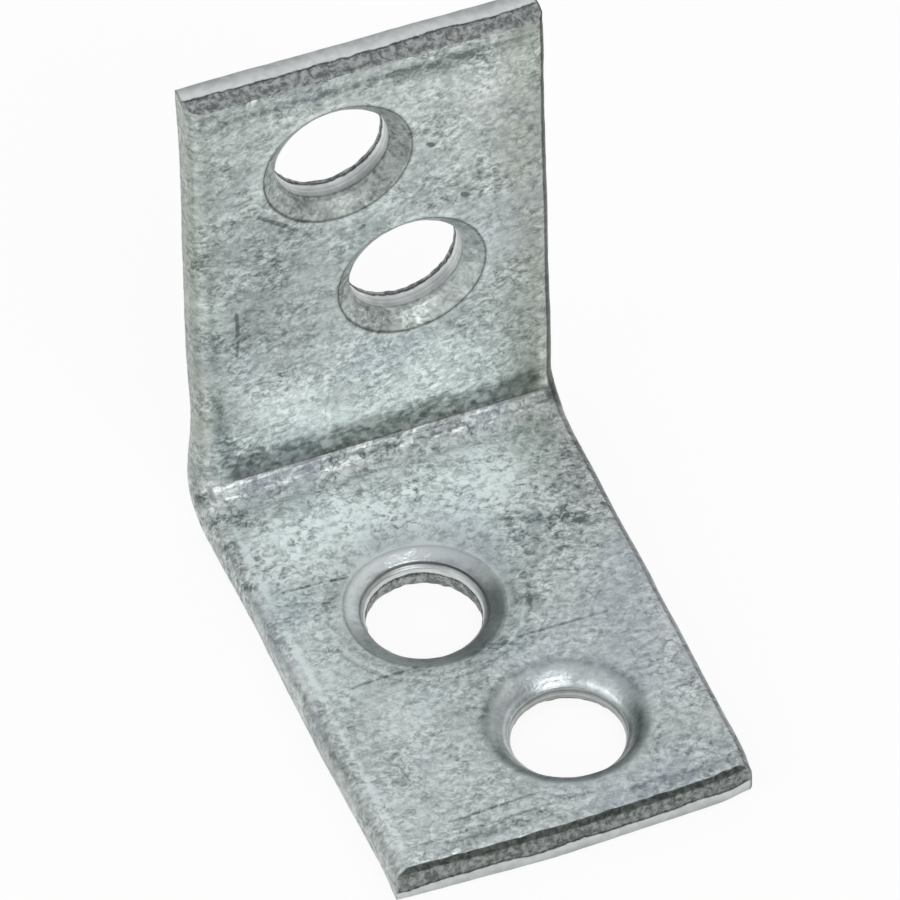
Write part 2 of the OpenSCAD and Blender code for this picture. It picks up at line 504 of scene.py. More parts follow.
@dataclass
class BracketSkin:
    """The whole bracket: builds its skin and dresses it."""

    strip: Strip = field(default_factory=Strip)
    holes: tuple[ScrewHole, ...] = (
        ScrewHole(
            "floor_far", -14.9, 1.375, dish_depth=0.17, blend_r=0.022, tear_depth=1.0,
            cone_steps=4, pressed=0.0, dark_way=145.0, dark_share=0.5, lean=(0.12, 0.0),
            dark_rings=((0.70, 0.045, 0.6), (0.92, 0.08, 0.6), (1.15, 0.12, 0.5)),
            steps=(
                (2.84, 0.0), (2.40, 0.11), (2.19, 0.32), (2.11, 0.45), (1.98, 0.60),
                (1.965, 0.72), (1.91, 0.80), (1.90, 1.0), (1.96, 1.08), (2.10, 1.3),
            ),
        ),
        ScrewHole(
            "floor_near", -8.3, -1.095, dish_depth=0.28, lean=(-0.12, 0.0), tear_depth=0.70,
            cone_steps=1, pressed=0.0, dark_way=125.0, dark_share=0.7,
            dark_rings=((0.35, 0.07, 0.9), (0.0, 0.03, 0.35)),
            steps=(
                (2.66, 0.0), (2.14, 0.26), (2.09, 0.42), (1.99, 0.48), (1.955, 0.66),
                (1.92, 0.84), (1.97, 1.3),
            ),
        ),
        ScrewHole("upright_low", 9.0, 1.375, dark_share=0.0, pressed=0.3),
        ScrewHole("upright_high", 15.3, -1.095),
    )
    ends: tuple[ShearedEnd, ...] = (
        ShearedEnd(
            Leg.FLOOR, bow=0.2, proud=0.12, clean_share=0.40, tear_back=0.15, seed=11
        ),
        ShearedEnd(Leg.UPRIGHT, skew=1.2, clean_share=0.49, rubble=0.02, seed=23),
    )
    row_cells: tuple[int, ...] = (10, 54, 4, 54, 28, 28, 34, 54, 2, 54, 10)
    column_cells: tuple[int, ...] = (15, 22, 32, 22, 12)
    arc_cells: int = 6
    flat_cells: int = 4

    def rows(self) -> Array:
        """Stations of the grid's rows, with the holes' blocks as knots."""
        knots = [-self.strip.floor_len]
        for hole in self.holes:
            knots += [hole.u - hole.block, hole.u + hole.block]
            if hole.name == "floor_near":
                knots += [-self.strip.turn_r, self.strip.turn_r]
        return grid_lines([*knots, self.strip.upright_len], list(self.row_cells))

    def column_knots(self) -> list[float]:
        """Edges of the holes' blocks across the strip, in rising order."""
        places = {round(h.x + s * h.block, 6) for h in self.holes for s in (-1, 1)}
        return sorted(places)

    def columns(self, left: Array, right: Array) -> Array:
        """Places of the grid's columns in every row.

        Args:
            left: Where the face begins in each row.
            right: Where it ends.

        Returns:
            The places, shape (rows, columns): even spans between the edge
            and the nearest block, and fixed lines between the blocks.
        """
        knots, cells = self.column_knots(), self.column_cells
        middle = grid_lines(knots, list(cells[1:-1]))
        out = np.linspace(0.0, 1.0, cells[0], endpoint=False)
        back = np.linspace(0.0, 1.0, cells[-1] + 1)[1:]
        return np.concatenate(
            [
                left[:, None] + (knots[0] - left)[:, None] * out,
                np.broadcast_to(middle, (len(left), len(middle))),
                knots[-1] + (right - knots[-1])[:, None] * back,
            ],
            axis=1,
        )

    def side_profile(self, side: Side, u: Array) -> tuple[Array, Array]:
        """The side's section in every row: an arc, a flat and an arc.

        Args:
            side: Which side.
            u: The rows' stations.

        Returns:
            Places x and heights n, each of shape (rows, cells + 1), from
            the inner face down to the outer face.
        """
        w = self.strip.half_width(side, u)[:, None]
        inner = self.strip.inner_round(side, u)[:, None]
        outer = self.strip.outer_round(side, u)[:, None]
        t = self.strip.thickness
        turn = np.linspace(0.0, np.pi / 2.0, self.arc_cells + 1)
        share = np.linspace(0.0, 1.0, self.flat_cells + 1)[1:-1]
        top_x = w - inner * (1.0 - np.sin(turn))
        top_n = t - inner * (1.0 - np.cos(turn))
        mid_n = (t - inner) + (outer - (t - inner)) * share
        low_x = w - outer * (1.0 - np.cos(turn))
        low_n = outer * (1.0 - np.sin(turn))
        x = np.concatenate([top_x, w + 0.0 * mid_n, low_x], axis=1)
        n = np.concatenate([top_n, mid_n, low_n], axis=1)
        return side.value * x, n

    def patches(self) -> list[Patch]:
        """The two faces, the two sides, the two ends and the holes."""
        u, t = self.rows(), self.strip.thickness
        left_x, left_n = self.side_profile(Side.LEFT, u)
        right_x, right_n = self.side_profile(Side.RIGHT, u)
        faces = []
        for column, height in ((0, t), (-1, 0.0)):
            x = self.columns(left_x[:, column], right_x[:, column])
            faces.append(
                np.stack([u[:, None] + 0.0 * x, x, np.full(x.shape, height)], -1)
            )
        knots = self.column_knots()
        keep = np.ones((len(u) - 1, faces[0].shape[1] - 1), bool)
        made = []
        first_col = self.column_cells[0]
        lines = np.concatenate([[0], np.cumsum(self.column_cells[1:-1])]) + first_col
        for hole in self.holes:
            top = int(np.argmin(np.abs(u - (hole.u - hole.block))))
            low = top + hole.round_cells
            start = int(lines[int(np.argmin(np.abs(np.array(knots) - (hole.x - hole.block))))])
            stop = start + hole.round_cells
            keep[top:low, start:stop] = False
            loop_in, loop_out = (
                np.concatenate(
                    [
                        f[top:low, start],
                        f[low, start:stop],
                        f[low:top:-1, stop],
                        f[top, stop:start:-1],
                        f[top:top + 1, start],
                    ]
                )
                for f in faces
            )
            made.append(hole.patch(loop_in, loop_out, t))
        for side, x, n in (
            (Side.LEFT, left_x, left_n), (Side.RIGHT, right_x, right_n)
        ):
            patch = Patch(np.stack([u[:, None] + 0.0 * x, x, n], -1))
            patch.tags = patch.filled_tags()
            arc = np.linspace(0.0, 1.0, self.arc_cells + 1)
            round_it = np.concatenate([arc, np.ones(self.flat_cells - 1), arc[::-1]])
            patch.tags[..., Tag.SIDE.value] = side.value * round_it
            made.append(patch)
        for end in self.ends:
            row = 0 if end.leg is Leg.FLOOR else -1
            made.append(
                self.end_patch(
                    end, u[row], faces[0][row, :, 1], faces[1][row, :, 1],
                    (left_x[row], right_x[row]), (left_n[row], right_n[row]),
                )
            )
        return [Patch(faces[0], keep), Patch(faces[1], keep), *made]

    def end_patch(
        self, end: ShearedEnd, u: float, inner: Array, outer: Array,
        side_x: tuple[Array, Array], side_n: tuple[Array, Array],
    ) -> Patch:
        """The sheared end, blended between its four borders: straight
        blends between opposite borders, summed, less the blend of the
        corners.

        Args:
            end: The end's sizes.
            u: Its station.
            inner: Places of its border with the inner face.
            outer: Places of its border with the outer face.
            side_x: Places of its borders with the two sides.
            side_n: Heights of those borders.

        Returns:
            The patch, tagged as cut metal.
        """
        down = np.linspace(0.0, 1.0, len(side_x[0]))[:, None]
        over = np.linspace(0.0, 1.0, len(inner))[None, :]
        x = (1.0 - down) * inner + down * outer
        for share, border in ((1.0 - over, side_x[0]), (over, side_x[1])):
            corner = (1.0 - down) * border[0] + down * border[-1]
            x = x + share * (border[:, None] - corner)
        n = (1.0 - over) * side_n[0][:, None] + over * side_n[1][:, None]
        tags = np.zeros((*x.shape, len(Tag)))
        tags[1:-1, 1:-1, Tag.CUT.value] = 1.0
        tags[..., Tag.TEAR.value] = end.torn_depth(x, n, self.strip)
        tags[:, [0, -1], Tag.SIDE.value] = -10.0
        return Patch(np.stack([u + 0.0 * x, x, n], -1), None, tags)

    def worn(self, sheet: Array) -> Array:
        """Moves places on the developed sheet to where the making left them.

        The ends take their sheared shape, which fades out over the last
        millimetre; the inner face is fuller round the bend; the sides swell
        there; the floor leg's holes sit in
        pressed dishes, whose depth falls with the square of the distance;
        and the front right corner is drawn in.

        Args:
            sheet: Places (u, x, n), shape (points, 3).

        Returns:
            The moved places.
        """
        u, x, n = sheet.T.copy()
        strip, t = self.strip, self.strip.thickness
        for end in self.ends:
            length = strip.floor_len if end.leg is Leg.FLOOR else strip.upright_len
            near = 1.0 - ease(length - end.leg.value * u, 0.0, 1.08)
            u = u + end.leg.value * near * end.reach(x, n, strip)
        edge = ease(np.abs(x), 4.5, 6.2)
        inner_share = np.clip(n / t, 0.0, 1.0)
        n = n + inner_share * strip.fillet(u)
        swell = 0.12 * hump(u, 0.0, 1.9) * (0.35 + 0.65 * inner_share)
        x = x + np.sign(x) * edge * swell
        draw = 0.13 * hump(u, 3.9, 2.6) * (1.0 - 0.4 * inner_share) * (x < 0)
        x = x + edge * draw
        for hole in self.holes:
            if hole.dish_depth:
                far = np.hypot(u - hole.u, x - hole.x) / hole.dish_r
                sunk = hole.dish_depth * np.clip(1.0 - far**2, 0.0, 1.0)
                n = n - sunk * inner_share**2
        corner = np.hypot(u + strip.floor_len, x - strip.width / 2.0)
        pull = 0.12 * np.exp(-((corner / 0.75) ** 2))
        return np.stack([u + pull, x - pull, n], -1)

    def relief(self, sheet: Array, tags: Array) -> Array:
        """Heights that the plating and the tools gave the surface.

        Long waves of the rolled sheet, a finer swell of the plating, lines
        that the dies left across the strip (narrow bells along u), the
        pressed ring round the near floor hole (a bell along its radius), and
        rubble on torn metal.

        Args:
            sheet: Places (u, x, n), shape (points, 3).
            tags: The points' tags.

        Returns:
            Millimetres to move each point along its normal.
        """
        u, x, n = sheet.T
        face = ease(n, 1.1, 1.25)
        high = 0.010 * waves(sheet, 5.0, 3) + 0.004 * waves(sheet, 1.5, 4)
        high += 0.0022 * waves(sheet, 0.55, 5, 96)
        cross = np.stack([x, 0.0 * x, 0.0 * x], -1)
        line = u + 0.03 * waves(cross, 3.0, 17, 6)
        for place, depth, reach, first, last in (
            (-10.88, 0.016, 0.10, -5.3, 5.0),
            (-18.10, 0.014, 0.11, -5.6, 2.0),
            (-17.50, 0.010, 0.10, -4.4, 0.4),
            (-6.22, 0.012, 0.09, -5.4, -2.6),
            (18.80, 0.020, 0.13, -5.0, 5.4),
            (-2.30, 0.014, 0.10, -5.2, 5.6),
        ):
            fade = ease(x, first, first + 0.8) * (1.0 - ease(x, last - 0.8, last))
            high -= face * fade * depth * hump(line, place, reach)
        near = self.holes[1]
        ring = np.hypot(u - near.u, x - near.x)
        high -= face * 0.014 * hump(ring, 3.45, 0.10)
        torn = tags[:, Tag.CUT.value] * ease(tags[:, Tag.TEAR.value], -0.02, 0.10)
        high += 0.010 * torn * waves(sheet, 0.42, 6, 96)
        return high

    def build(self) -> bpy.types.Object:
        """Makes the skin's mesh and object.

        Returns:
            The object, at the origin, with its place in its mesh.
        """
        sheet, tags, quads = weld(self.patches())
        mesh = bpy.data.meshes.new("zinc_bracket")
        mesh.from_pydata(self.strip.bent(self.worn(sheet)), [], quads)
        shell = bmesh.new()
        shell.from_mesh(mesh)
        bmesh.ops.recalc_face_normals(shell, faces=shell.faces)
        open_edges = sum(1 for e in shell.edges if len(e.link_faces) != 2)
        LOG.info("skin: %d quads, %d open edges", len(quads), open_edges)
        shell.to_mesh(mesh)
        shell.free()
        normals = np.empty(len(sheet) * 3)
        mesh.vertices.foreach_get("normal", normals)
        places = np.empty(len(sheet) * 3)
        mesh.vertices.foreach_get("co", places)
        high = self.relief(sheet, tags) * MM
        moved = places.reshape(-1, 3) + normals.reshape(-1, 3) * high[:, None]
        mesh.vertices.foreach_set("co", moved.ravel())
        mesh.polygons.foreach_set("use_smooth", np.ones(len(mesh.polygons), bool))
        self.remember(mesh, sheet, tags)
        mesh.update()
        piece = bpy.data.objects.new("zinc_bracket", mesh)
        bpy.context.scene.collection.objects.link(piece)
        return piece

    def remember(self, mesh: bpy.types.Mesh, sheet: Array, tags: Array) -> None:
        """Stores the developed places and the tags as mesh attributes.

        Args:
            mesh: The skin's mesh.
            sheet: Places (u, x, n), shape (points, 3).
            tags: The points' tags.
        """
        layer = mesh.attributes.new("sheet", "FLOAT_VECTOR", "POINT")
        layer.data.foreach_set("vector", sheet.ravel())
        for tag in Tag:
            layer = mesh.attributes.new(tag.name.lower(), "FLOAT", "POINT")
            layer.data.foreach_set("value", tags[:, tag.value].copy())


# ---------------------------------------------------------------- finishes


@dataclass(frozen=True)
class Tone:
    """A colour by the numbers a screen shows, from 0 to 255."""

    red: int
    green: int
    blue: int

    def linear(self) -> tuple[float, float, float, float]:
        """The colour as light, from 0 to 1, with alpha 1."""
        parts = [c / 255.0 for c in (self.red, self.green, self.blue)]
        light = [
            c / 12.92 if c <= 0.04045 else ((c + 0.055) / 1.055) ** 2.4 for c in parts
        ]
        return (*light, 1.0)


@dataclass
class NodeBench:
    """Short ways to lay out shader nodes in one tree."""

    tree: bpy.types.NodeTree

    def put(self, kind: str, **settings: object) -> bpy.types.Node:
        """Adds a node and sets its properties."""
        node = self.tree.nodes.new(kind)
        for name, value in settings.items():
            setattr(node, name, value)
        return node

    def feed(self, socket: Socket, value: object) -> None:
        """Links a socket to another, or writes a number or colour in it."""
        if isinstance(value, bpy.types.NodeSocket):
            self.tree.links.new(value, socket)
        else:
            socket.default_value = value

    def noise(
        self, place: Socket, scale: float, detail: float = 2.0,
        roughness: float = 0.5, distortion: float = 0.0,
    ) -> Socket:
        """A soft noise from 0 to 1.

        Args:
            place: The coordinates.
            scale: Noise cells to a unit of the coordinates.
            detail: How many finer layers are added.
            roughness: How strong the finer layers are.
            distortion: How far the pattern is swirled.

        Returns:
            The noise's value.
        """
        node = self.put("ShaderNodeTexNoise")
        self.feed(node.inputs["Vector"], place)
        node.inputs["Scale"].default_value = scale
        node.inputs["Detail"].default_value = detail
        node.inputs["Roughness"].default_value = roughness
        node.inputs["Distortion"].default_value = distortion
        return node.outputs["Fac"]

    def remap(
        self, value: Socket, low: float, high: float,
        to_low: float = 0.0, to_high: float = 1.0,
    ) -> Socket:
        """Maps a value from one range to another with a soft step.

        Args:
            value: The value.
            low: Start of its range.
            high: End of its range.
            to_low: What the start becomes.
            to_high: What the end becomes.

        Returns:
            The mapped value.
        """
        node = self.put("ShaderNodeMapRange", interpolation_type="SMOOTHSTEP")
        self.feed(node.inputs["Value"], value)
        for name, number in (
            ("From Min", low), ("From Max", high), ("To Min", to_low), ("To Max", to_high)
        ):
            node.inputs[name].default_value = number
        return node.outputs["Result"]

    def sum(self, operation: str, first: object, second: object, clamp: bool = False) -> Socket:
        """One sum of two values, such as ADD or MULTIPLY."""
        node = self.put("ShaderNodeMath", operation=operation, use_clamp=clamp)
        self.feed(node.inputs[0], first)
        self.feed(node.inputs[1], second)
        return node.outputs[0]

    def mix(self, share: object, first: object, second: object) -> Socket:
        """Mixes two colours by a share."""
        node = self.put("ShaderNodeMix", data_type="RGBA")
        self.feed(node.inputs[0], share)
        self.feed(node.inputs[6], first)
        self.feed(node.inputs[7], second)
        return node.outputs[2]

    def tint(self, share: object, colour: object, tone: "Tone") -> Socket:
        """Multiplies a colour by a tone, by a share."""
        node = self.put("ShaderNodeMix", data_type="RGBA", blend_type="MULTIPLY")
        self.feed(node.inputs[0], share)
        self.feed(node.inputs[6], colour)
        self.feed(node.inputs[7], tone.linear())
        return node.outputs[2]

    def stretch(self, place: Socket, factors: tuple[float, float, float]) -> Socket:
        """Multiplies coordinates axis by axis."""
        node = self.put("ShaderNodeVectorMath", operation="MULTIPLY")
        self.feed(node.inputs[0], place)
        node.inputs[1].default_value = factors
        return node.outputs[0]

    def attribute(self, name: str, output: str = "Fac") -> Socket:
        """Reads one of the mesh's own attributes."""
        return self.put("ShaderNodeAttribute", attribute_name=name).outputs[output]


@dataclass(frozen=True)
class ToneStroke:
    """A soft stroke between two places (u, x) of the inner face, lighter (positive) or darker (negative) than
    the rest: thin ones are die lines, scratches and spots on the plating, broad ones are painted light and
    painted shade."""

    start: tuple[float, float]
    stop: tuple[float, float]
    reach: float
    tone: float
    core: float = 0.3


@dataclass(frozen=True)
class Arc:
    """A soft arc on the sheet round a hole: its radius, reach and tone, and the half of the circle it lies
    on, +1 towards the upright's top and -1 towards the floor leg's end. Lighter arcs are painted highlights
    and darker arcs painted shade on the floor holes' dishes."""

    centre: tuple[float, float]
    radius: float
    reach: float
    tone: float
    half: float


@dataclass(frozen=True)
class ZincFinish:
    """Bright zinc plating on rolled steel, with its sheared edges."""

    name: str = "zinc_steel"
    pale: Tone = Tone(242, 249, 246)
    dull: Tone = Tone(112, 122, 120)
    cool: Tone = Tone(180, 188, 202)
    soot: Tone = Tone(188, 192, 192)
    torn: Tone = Tone(116, 121, 121)
    shade: Tone = Tone(52, 56, 57)
    crease: Tone = Tone(154, 159, 156)
    hollow_shade: Tone = Tone(232, 231, 233)
    gutter_shade: Tone = Tone(186, 187, 190)
    pressed: Tone = Tone(220, 222, 219)
    edge: Tone = Tone(218, 220, 216)
    mossy: Tone = Tone(220, 221, 215)
    bluish: Tone = Tone(249, 249, 253)
    outline: Tone = Tone(102, 106, 105)
    rims: tuple[tuple[float, float, float], ...] = (
        (15.3, -1.095, 2.57), (9.0, 1.375, 2.57),
    )
    arcs: tuple[Arc, ...] = (
        Arc((-14.86, 1.375), 2.08, 0.09, 0.50, 1.0),
        Arc((-14.84, 1.28), 2.44, 0.34, -0.60, -1.0),
        Arc((-14.86, 1.375), 2.70, 0.30, -0.32, 1.0),
        Arc((-14.84, 1.28), 2.12, 0.14, -0.45, -1.0),
        Arc((-8.35, -1.095), 2.50, 0.40, 0.42, 1.0),
        Arc((-8.30, -1.095), 2.34, 0.26, -0.22, -1.0),
        Arc((-8.30, -1.095), 3.30, 0.10, 0.22, -1.0),
        Arc((-8.30, -1.095), 3.50, 0.12, -0.26, -1.0),
    )
    dishes: tuple[tuple[float, float], ...] = ((-8.3, -1.095), (-14.9, 1.375))
    burnished: Tone = Tone(236, 240, 240)
    worked: Tone = Tone(158, 164, 165)
    metal: float = 0.8
    # Strokes of reach 0.16 or less are die lines, scratches and spots on the plating. The broader ones are
    # painted light and painted shade: the lighter bands by the bend, low on the upright, over the floor leg,
    # along its left edge and on the near floor hole's dish are painted light, and the darker bands along the
    # upright's left edge are painted shade. The other broad strokes darken patches by the two ends, on the
    # upright and beside the near floor hole.
    marks_and_painted_light: tuple[ToneStroke, ...] = (
        ToneStroke((8.6, -4.75), (9.64, -4.78), 0.10, -0.6),
        ToneStroke((7.63, -4.8), (8.3, -4.76), 0.08, -0.5),
        ToneStroke((15.01, 2.05), (14.9, 2.15), 0.14, -0.7),
        ToneStroke((12.17, 3.19), (12.1, 3.3), 0.16, -0.8),
        ToneStroke((13.9, -3.9), (12.8, -2.6), 0.12, -0.45),
        ToneStroke((6.6, -1.5), (6.9, 3.2), 1.7, 0.11, 0.0),
        ToneStroke((11.97, -0.45), (12.05, -0.3), 0.13, -0.6),
        ToneStroke((11.2, -3.2), (8.8, -4.7), 1.5, -0.22, 0.0),
        ToneStroke((4.2, -3.4), (4.2, 4.0), 2.3, 0.17, 0.2),
        ToneStroke((-9.0, -4.4), (-17.4, -3.8), 4.0, 0.17, 0.2),
        ToneStroke((-2.4, -4.6), (-2.4, 4.3), 0.55, 0.26, 0.3),
        ToneStroke((2.9, -5.35), (5.6, -5.50), 0.45, -0.35, 0.0),
        ToneStroke((6.2, -5.6), (8.6, -5.8), 0.8, -0.16, 0.0),
        ToneStroke((-3.0, -5.76), (-18.0, -5.62), 0.20, 0.34, 0.0),
        ToneStroke((-4.8, -4.0), (-4.4, 3.0), 2.6, 0.33, 0.3),
        ToneStroke((-5.76, 2.45), (-6.89, 5.22), 0.45, -0.40, 0.0),
        ToneStroke((-10.95, -4.6), (-10.80, -2.3), 0.08, -0.45),
        ToneStroke((-10.86, 1.2), (-10.92, 4.3), 0.08, -0.50),
        ToneStroke((-6.20, -5.2), (-6.30, -3.0), 0.08, -0.50),
        ToneStroke((-18.12, -5.0), (-18.02, 1.0), 0.10, -0.35),
        ToneStroke((-17.55, -3.8), (-17.45, -0.7), 0.08, -0.40),
        ToneStroke((-9.39, 1.91), (-9.6, 2.4), 0.45, -0.45, 0.0),
        ToneStroke((-10.9, 0.5), (-11.0, -0.6), 0.6, -0.25, 0.0),
        ToneStroke((-18.62, -4.8), (-18.5, -1.0), 0.50, -0.40, 0.1),
        ToneStroke((-18.62, 2.4), (-18.5, 5.8), 0.50, -0.30, 0.1),
        ToneStroke((18.78, -5.2), (18.80, 5.5), 0.26, -0.26, 0.3),
        ToneStroke((18.95, -5.4), (18.95, 5.7), 0.90, -0.20, 0.5),
        ToneStroke((1.2, -5.3), (-1.8, -5.5), 0.9, 0.30, 0.2),
        ToneStroke((-5.95, -2.2), (-5.95, -0.2), 0.40, 0.30, 0.2),
        ToneStroke((18.62, 1.0), (18.60, 3.6), 0.55, -0.18, 0.1),
    )

    def stroke(self, bench: NodeBench, place: Socket, mark: ToneStroke) -> Socket:
        """The mask of a mark: 1 on the line from its start to its stop, and
        0 past its reach from the nearest point of that line.

        Args:
            bench: Where the nodes go.
            place: The sheet's coordinates.
            mark: The mark.

        Returns:
            The mask times the mark's tone.
        """
        start = np.array([*mark.start, 1.3])
        way = np.array([*mark.stop, 1.3]) - start
        offset = bench.put("ShaderNodeVectorMath", operation="SUBTRACT")
        bench.feed(offset.inputs[0], place)
        offset.inputs[1].default_value = start
        dot = bench.put("ShaderNodeVectorMath", operation="DOT_PRODUCT")
        bench.feed(dot.inputs[0], offset.outputs[0])
        dot.inputs[1].default_value = way / float(way @ way)
        share = bench.sum("ADD", dot.outputs["Value"], 0.0, clamp=True)
        along = bench.put("ShaderNodeVectorMath", operation="SCALE")
        along.inputs[0].default_value = way
        bench.feed(along.inputs["Scale"], share)
        gap = bench.put("ShaderNodeVectorMath", operation="DISTANCE")
        bench.feed(gap.inputs[0], offset.outputs[0])
        bench.feed(gap.inputs[1], along.outputs[0])
        return bench.remap(
            gap.outputs["Value"], mark.reach * mark.core, mark.reach, mark.tone, 0.0
        )

    def line(self, bench: NodeBench, value: Socket, centre: float, reach: float) -> Socket:
        """A soft line where a value passes a centre: 1 there, and 0 past
        its reach on either side."""
        gap = bench.sum("ABSOLUTE", bench.sum("SUBTRACT", value, centre), 0.0)
        return bench.remap(gap, 0.0, reach, 1.0, 0.0)

    def disc(
        self, bench: NodeBench, place: Socket, centre: tuple[float, float],
        inner: float, outer: float,
    ) -> Socket:
        """A soft disc on the sheet: 1 inside a radius, 0 outside another."""
        flat = bench.stretch(place, (1.0, 1.0, 0.0))
        gap = bench.put("ShaderNodeVectorMath", operation="DISTANCE")
        bench.feed(gap.inputs[0], flat)
        gap.inputs[1].default_value = (*centre, 0.0)
        return bench.remap(gap.outputs["Value"], inner, outer, 1.0, 0.0)

    def ring(
        self, bench: NodeBench, place: Socket, centre: tuple[float, float],
        radius: float, reach: float,
    ) -> Socket:
        """A soft ring on the sheet round a centre (u, x)."""
        flat = bench.stretch(place, (1.0, 1.0, 0.0))
        gap = bench.put("ShaderNodeVectorMath", operation="DISTANCE")
        bench.feed(gap.inputs[0], flat)
        gap.inputs[1].default_value = (*centre, 0.0)
        return self.line(bench, gap.outputs["Value"], radius, reach)

    def band(
        self, bench: NodeBench, value: Socket, first: float, last: float,
        soft_first: float, soft_last: float,
    ) -> Socket:
        """A band of a value: 1 from first to last, with a soft edge of its
        own width on each side."""
        rise = bench.remap(value, first - soft_first, first)
        fall = bench.remap(value, last, last + soft_last, 1.0, 0.0)
        return bench.sum("MULTIPLY", rise, fall)

    def material(self) -> bpy.types.Material:
        """Lays out the finish.

        Worm-like grains of paler and duller zinc lie over soft clouds; thin strokes of die lines, scratches
        and spots, and broad strokes of painted light and shade, lighten or darken them; arcs of painted
        highlight and shade lie on the floor holes' dishes, and painted shade dims the inner face of the bend,
        the band where it meets the upright, the left side and the right side's roundings. Torn metal is dark
        and rough, and cut metal is burnished along the punch's way.

        Returns:
            The material.
        """
        made = bpy.data.materials.new(self.name)
        made.use_nodes = True
        made.node_tree.nodes.clear()
        bench = NodeBench(made.node_tree)
        place = bench.attribute("sheet", "Vector")
        parts = bench.put("ShaderNodeSeparateXYZ")
        bench.feed(parts.inputs[0], place)
        along, across, above = (parts.outputs[axis] for axis in "XYZ")
        solid = bench.put("ShaderNodeTexCoord").outputs["Object"]
        solid = bench.stretch(solid, (1000.0, 1000.0, 1000.0))
        laid = bench.stretch(solid, (0.86, 1.08, 1.08))
        clouds = bench.noise(solid, 0.45, 4.0, 0.6, 0.4)
        grain = bench.noise(solid, 7.5, 2.0, 0.6)
        mottle = bench.noise(laid, 3.6, 0.8, 0.5, 0.4)
        worms = bench.noise(bench.stretch(laid, (-1.0, 1.0, 1.0)), 4.0, 0.5, 0.5, 0.7)
        veins = bench.noise(bench.stretch(laid, (1.0, -1.0, -1.0)), 4.4, 0.5, 0.5, 0.7)
        crowd = bench.remap(bench.noise(solid, 0.8, 3.0, 0.6), 0.35, 0.65, 0.55, 1.15)
        level = bench.remap(clouds, 0.3, 0.7, 0.54, 0.86)
        fine = bench.sum(
            "ADD", bench.remap(mottle, 0.30, 0.70, -0.24, 0.24),
            bench.sum("MULTIPLY", self.line(bench, worms, 0.5, 0.15), -0.36),
        )
        fine = bench.sum(
            "ADD", fine, bench.sum("MULTIPLY", self.line(bench, veins, 0.5, 0.14), 0.30)
        )
        crowd = bench.sum(
            "MULTIPLY", crowd, bench.sum(
                "ADD", 0.95, bench.sum("MULTIPLY", self.band(
                    bench, along, -6.0, -2.0, 4.0, 4.0), 0.35)
            )
        )
        for centre in self.dishes:
            calm = self.disc(bench, place, centre, 2.5, 3.1)
            crowd = bench.sum("MULTIPLY", crowd, bench.sum("SUBTRACT", 1.0, bench.sum("MULTIPLY", calm, 0.7)))
        # Painted highlights and painted shade in arcs on the floor holes' dishes.
        for arc in self.arcs:
            ring = self.ring(bench, place, arc.centre, arc.radius, arc.reach)
            ahead = bench.sum("MULTIPLY", bench.sum("SUBTRACT", along, arc.centre[0]), arc.half)
            ring = bench.sum("MULTIPLY", ring, bench.remap(ahead, -0.5, 0.6))
            level = bench.sum("ADD", level, bench.sum("MULTIPLY", ring, arc.tone))
        level = bench.sum("ADD", level, bench.sum("MULTIPLY", fine, crowd))
        level = bench.sum("ADD", level, bench.remap(grain, 0.3, 0.7, -0.03, 0.03))
        top = bench.remap(above, 0.6, 0.8)
        for u, x, radius in self.rims:
            halo = self.ring(bench, place, (u, x), radius + 0.17, 0.14)
            level = bench.sum("ADD", level, bench.sum("MULTIPLY", halo, 0.18))
        # Die lines, scratches and spots, and broad strokes of painted light and painted shade.
        for mark in self.marks_and_painted_light:
            level = bench.sum("ADD", level, self.stroke(bench, place, mark))
        level = bench.sum("ADD", bench.sum("MULTIPLY", level, 0.8), 0.005, clamp=True)
        plate = bench.mix(level, self.dull.linear(), self.pale.linear())
        blue = bench.remap(bench.noise(solid, 0.3, 2.0, 0.5), 0.5, 0.72, 0.0, 0.3)
        plate = bench.mix(blue, plate, self.cool.linear())
        plate = bench.tint(bench.remap(along, 0.0, -3.0), plate, self.bluish)
        # Painted shade: a darker band on the inner face where the bend meets the upright, broken up by the
        # mottle.
        crease = bench.sum(
            "MULTIPLY",
            self.band(bench, bench.sum("ADD", along, bench.sum("MULTIPLY", mottle, 0.25)),
                      1.32, 2.50, 0.22, 0.75),
            self.band(bench, across, -4.9, 5.5, 0.7, 0.5),
        )
        crease = bench.sum("MULTIPLY", crease, bench.remap(mottle, 0.35, 0.65, 1.0, 0.7))
        plate = bench.tint(bench.sum("MULTIPLY", top, crease), plate, self.crease)
        # Painted shade: two bands across the inner face of the bend dim the highlight on its fillet.
        gutter_shade = self.band(bench, along, -0.5, 0.3, 0.8, 0.25)
        plate = bench.tint(bench.sum("MULTIPLY", top, gutter_shade), plate, self.gutter_shade)
        hollow_shade = self.band(bench, along, 0.5, 1.2, 0.2, 0.25)
        plate = bench.tint(bench.sum("MULTIPLY", top, hollow_shade), plate, self.hollow_shade)
        mossy = bench.sum(
            "MULTIPLY", bench.remap(across, 3.8, 5.6), bench.remap(along, -9.0, 3.0)
        )
        plate = bench.tint(mossy, plate, self.mossy)
        side = bench.attribute("side")
        # Painted shade: the left side and its rounding are dimmed all along the strip.
        left = bench.remap(bench.sum("MULTIPLY", side, -1.0), 0.25, 0.6)
        plate = bench.tint(left, plate, self.edge)
        # Painted shade: the strip by the left edge is dimmed too, from just above the bend up the upright.
        rolled = bench.sum(
            "MULTIPLY", bench.remap(across, -5.25, -5.7), bench.remap(along, 1.0, 4.0)
        )
        plate = bench.tint(bench.sum("MULTIPLY", rolled, 0.6), plate, self.edge)
